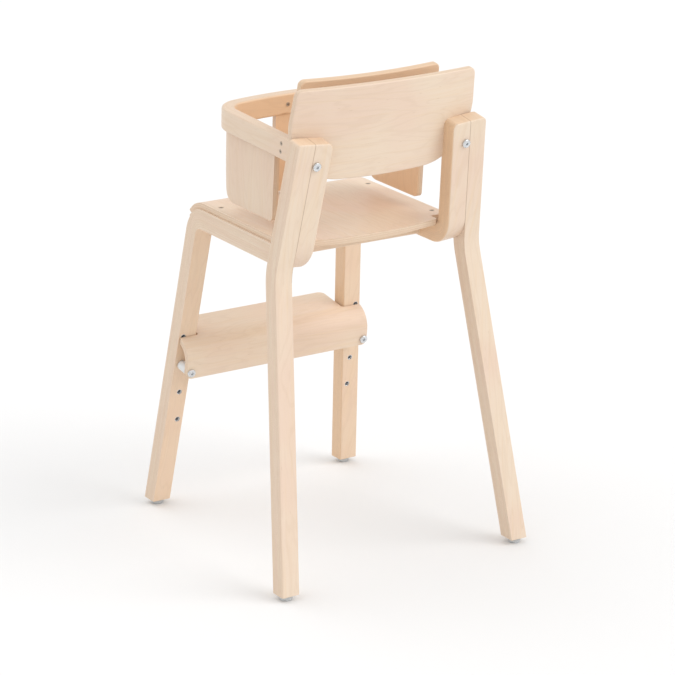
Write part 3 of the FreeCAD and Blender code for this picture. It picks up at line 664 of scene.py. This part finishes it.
def wood_screw(name, head, length):
    shank, sink = 1.6 * MM, 2.2 * MM
    piece = start(bpy.ops.mesh.primitive_cone_add, vertices=28, radius1=2.0 * MM, radius2=head, depth=sink,
                  location=(0, 0, -sink / 2))
    piece.name = name
    bpy.ops.object.mode_set(mode="OBJECT")
    bpy.ops.object.transform_apply(location=True, rotation=False, scale=False)
    bpy.ops.object.mode_set(mode="EDIT")
    pick_edges(piece, lambda co: co.z > -0.01 * MM)
    bpy.ops.mesh.bevel(offset=0.25 * MM, segments=2)
    pick_faces(piece, lambda co, n: n.z < -0.9)
    bpy.ops.mesh.inset(thickness=0.4 * MM)
    thread(length - sink - 1.5 * MM, 1.3 * MM, shank * 0.75, shank * 1.2, 0.6)
    draw(1.4 * MM, 0.15)
    close(piece)
    for across in (True, False):
        long, narrow = head * 1.15, head * 0.26
        blade = start(bpy.ops.mesh.primitive_cone_add, vertices=4, radius1=0.3 * head, radius2=head * 0.8,
                      depth=2.4 * MM, location=(0, 0, -0.3 * MM), rotation=(0, 0, math.radians(45)))
        close(blade)
        bpy.ops.object.transform_apply(location=True, rotation=True, scale=False)
        blade.scale = (long / head, narrow / head, 1) if across else (narrow / head, long / head, 1)
        bpy.ops.object.transform_apply(location=False, rotation=False, scale=True)
        cut(piece, blade)
    return smooth(piece)


# %% [markdown]
# ## Sleeve, spacer and glide
#
# A threaded sleeve is a ridged skin that is then given a wall, so the ridges show inside and
# outside. A spacer is a plain tube with softened ends. A glide is a puck with a rounded rim,
# a narrower neck under the leg, and a sunk hole beneath for its nail.

# %% Model a sleeve, a spacer and a glide


def sleeve(name, length):
    outer, wall = 4.3 * MM, 0.9 * MM
    piece = start(bpy.ops.mesh.primitive_circle_add, vertices=32, radius=outer, fill_type="NOTHING")
    piece.name = name
    bpy.ops.mesh.select_all(action="SELECT")
    draw(1.2 * MM)
    draw(0.2 * MM, 0.93)
    thread(length - 2.4 * MM, 1.5 * MM, outer * 0.93, outer * 0.99)
    draw(0.8 * MM)
    close(piece)
    apply_modifier(piece, "SOLIDIFY", thickness=wall, offset=-1.0)
    soften(piece, 0.15 * MM, 2, 60)
    return smooth(piece)


def spacer(name, length):
    outer, bore = 7.5 * MM, 3.0 * MM
    piece = start(bpy.ops.mesh.primitive_circle_add, vertices=40, radius=outer, fill_type="NOTHING")
    piece.name = name
    bpy.ops.mesh.select_all(action="SELECT")
    draw(length)
    close(piece)
    apply_modifier(piece, "SOLIDIFY", thickness=outer - bore, offset=-1.0)
    soften(piece, 0.7 * MM, 3, 60)
    return smooth(piece)


def glide(name, height):
    foot, neck = 9.0 * MM, 7.4 * MM
    puck = height - 2.3 * MM
    piece = start(bpy.ops.mesh.primitive_cylinder_add, vertices=48, radius=foot, depth=puck,
                  location=(0, 0, puck / 2 - height))
    piece.name = name
    bpy.ops.object.mode_set(mode="OBJECT")
    bpy.ops.object.transform_apply(location=True, rotation=False, scale=False)
    bpy.ops.object.mode_set(mode="EDIT")
    pick_edges(piece, lambda co: co.z < 0.01 * MM - height)
    bpy.ops.mesh.bevel(offset=2.4 * MM, segments=5)
    pick_edges(piece, lambda co: co.z > puck - height - 0.01 * MM)
    bpy.ops.mesh.bevel(offset=0.6 * MM, segments=3)
    pick_faces(piece, lambda co, n: n.z > 0.9 and co.xy.length < neck / 2)
    bpy.ops.mesh.inset(thickness=foot - neck - 0.6 * MM)
    draw(-(height - puck))
    pick_faces(piece, lambda co, n: n.z < -0.9 and co.xy.length < neck / 2)
    bpy.ops.mesh.inset(thickness=2.6 * MM)
    draw(-1.0 * MM, 0.7)
    close(piece)
    return smooth(piece)


# %% [markdown]
# ## Put the fittings in place
#
# A node of the frame can hold several loose solids, such as the four seat screws. Each one's
# points tell where it lies: the furthest point along its axis is its head, and the middle of
# its width is its centre line. The copy is turned so that its head looks the same way.

# %% Place copies over the frame's fittings


def lumps(node):
    """The corner points of each loose solid of a node, in a fixed order."""
    mesh = bmesh.new()
    mesh.from_mesh(nodes[node].data)
    bmesh.ops.remove_doubles(mesh, verts=mesh.verts, dist=1e-6)
    waiting = set(mesh.verts)
    found = []
    for vert in mesh.verts:
        if vert not in waiting:
            continue
        waiting.discard(vert)
        reach, points = [vert], []
        while reach:
            here = reach.pop()
            points.append(here.co.copy())
            near = [edge.other_vert(here) for edge in here.link_edges]
            reach += [v for v in near if v in waiting]
            waiting -= set(near)
        found.append(points)
    mesh.free()
    return sorted(found, key=lambda points: tuple(round(c, 3) for c in sum(points, Vector()) / len(points)))


def span(points, way):
    reach = [p.dot(way) for p in points]
    return min(reach), max(reach)


def fit(model, node, way, finish, head=0.0):
    """Copy a fitting onto each solid of a node, with its head towards a direction."""
    turn = way.to_track_quat("Z", "Y").to_matrix()
    body = next(b for b, members in frame["record"]["behaviour"]["bodies"].items() if node in members)
    for i, points in enumerate(lumps(node)):
        middle = [sum(span(points, axis)) / 2 for axis in (turn.col[0], turn.col[1])]
        top = span(points, way)[1] - head
        place = turn.to_4x4()
        place.translation = turn @ Vector((middle[0], middle[1], top))
        piece = bpy.data.objects.new(node + "_fitting_" + str(i + 1), model.data.copy())
        bpy.context.scene.collection.objects.link(piece)
        piece.data.transform(place)
        piece.data.materials.clear()
        piece.data.materials.append(finish)
        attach(piece, body)
        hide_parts(node)
    print(node, "has", i + 1)


recline = math.atan(RECLINE)
rake = math.atan(RAKE)
UP = Vector((0, 0, 1))
BACK = Vector((0, math.cos(recline), -math.sin(recline)))
STEP_BACK = Vector((0, math.cos(rake), -math.sin(rake)))
LEFT = Vector((1, 0, 0))
SIDES = {"left": LEFT, "right": -LEFT}
BOLT_CROWN = 3.6 * MM


def length_of(node, way):
    low, high = span(lumps(node)[0], way)
    return high - low


back_bolt = bolt("back_bolt", length_of("backrest_bolt_left", BACK) - BOLT_CROWN, 24 * MM)
step_bolt = bolt("step_bolt", length_of("footrest_bolt_left", STEP_BACK) - BOLT_CROWN, 20 * MM)
seat_screw = wood_screw("seat_screw", 4.0 * MM, length_of("seat_screws", UP))
arm_screw = wood_screw("arm_screw", 3.2 * MM, length_of("back_plate_screws_left", LEFT))
cheek_screw = wood_screw("cheek_screw", 3.2 * MM, length_of("side_panel_screws_left", LEFT))
leg_sleeve = sleeve("leg_sleeve", length_of("footrest_inserts_left", STEP_BACK))
arm_sleeve = sleeve("arm_sleeve", length_of("hoop_insert_left", BACK))
step_spacer = spacer("step_spacer", length_of("footrest_spacer_left", STEP_BACK))
leg_glide = glide("leg_glide", length_of("glide_rear_left", UP))

fit(seat_screw, "seat_screws", UP, aged_zinc)
fit(cheek_screw, "crotch_panel_screws", Vector((0, 1, 0)), aged_zinc)
for side, outward in SIDES.items():
    fit(back_bolt, "backrest_bolt_" + side, BACK, bright_zinc, BOLT_CROWN)
    fit(step_bolt, "footrest_bolt_" + side, STEP_BACK, bright_zinc, BOLT_CROWN)
    fit(arm_screw, "back_plate_screws_" + side, outward, aged_zinc)
    fit(cheek_screw, "side_panel_screws_" + side, -outward, aged_zinc)
    fit(leg_sleeve, "footrest_inserts_" + side, STEP_BACK, bright_zinc)
    fit(arm_sleeve, "hoop_insert_" + side, BACK, dull_zinc)
    fit(step_spacer, "footrest_spacer_" + side, STEP_BACK, pale_plastic)
    for end in ("front_", "rear_"):
        fit(leg_glide, "glide_" + end + side, UP, grey_plastic)
for model in (back_bolt, step_bolt, seat_screw, arm_screw, cheek_screw,
              leg_sleeve, arm_sleeve, step_spacer, leg_glide):
    bpy.data.objects.remove(model, do_unlink=True)

# %% [markdown]
# ## Studio
#
# A white floor, a bright even sky and two wide, soft lights: the key from the right of the back,
# and a fill from above and in front that reaches the seat between the hoop and the backrest.
# Lights of the sun kind are used because they fall off nowhere, so the floor stays evenly white
# and the feet throw faint shadows.

# %% Floor and light
bpy.ops.object.select_all(action="DESELECT")
bpy.ops.mesh.primitive_plane_add(size=40, location=(0, 0, 0))
floor = bpy.context.object
floor.name = "studio_floor"
WHITE = (0.845, 0.845, 0.845, 1)
floor_finish = Finish("studio_white", Roughness=0.9, Base_Color=WHITE, Specular_IOR_Level=0.1)
floor.data.materials.append(floor_finish.material)

SKY = 0.82
KEY = 1.05
FILL = 0.65
world = bpy.data.worlds.new("studio_sky")
bpy.context.scene.world = world
world.use_nodes = True
world.node_tree.nodes["Background"].inputs["Color"].default_value = (1.0, 1.0, 1.0, 1)
world.node_tree.nodes["Background"].inputs["Strength"].default_value = SKY


def soft_light(name, way, degrees, strength):
    """An even light from far away; degrees is how wide it looks, so how soft its shadows are."""
    data = bpy.data.lights.new(name, "SUN")
    data.angle = math.radians(degrees)
    data.energy = strength
    light = bpy.data.objects.new(name, data)
    bpy.context.scene.collection.objects.link(light)
    light.location = (0, 0, 3)
    light.rotation_euler = Vector(way).to_track_quat("Z", "Y").to_euler()
    return light


soft_light("key", (-0.62, 0.72, 0.80), 45, KEY)
soft_light("front_fill", (0.30, -0.38, 0.95), 60, FILL)

print("sky", SKY, "key", KEY, "fill", FILL)

# %% [markdown]
# ## Camera
#
# The camera stands behind the chair on the child's left, a little above the backrest and well
# back, with a long lens, so the legs stay nearly parallel. The standard view keeps the whites of
# the floor and the pale wood as they are mixed.

# %% Camera
CAMERA_AT = Vector((2.0585, 3.2472, 1.5472))
CAMERA_WAY = Vector((-0.5134, -0.8007, -0.3087))
camera_data = bpy.data.cameras.new("camera")
camera_data.lens = 143.86
camera_data.sensor_width = 36
camera = bpy.data.objects.new("camera", camera_data)
bpy.context.scene.collection.objects.link(camera)
camera.location = CAMERA_AT
camera.rotation_euler = CAMERA_WAY.to_track_quat("-Z", "Y").to_euler()
bpy.context.scene.camera = camera
bpy.context.scene.view_settings.view_transform = "Standard"
print("the camera is", round(CAMERA_AT.length, 2), "m from the middle of the floor under the chair")
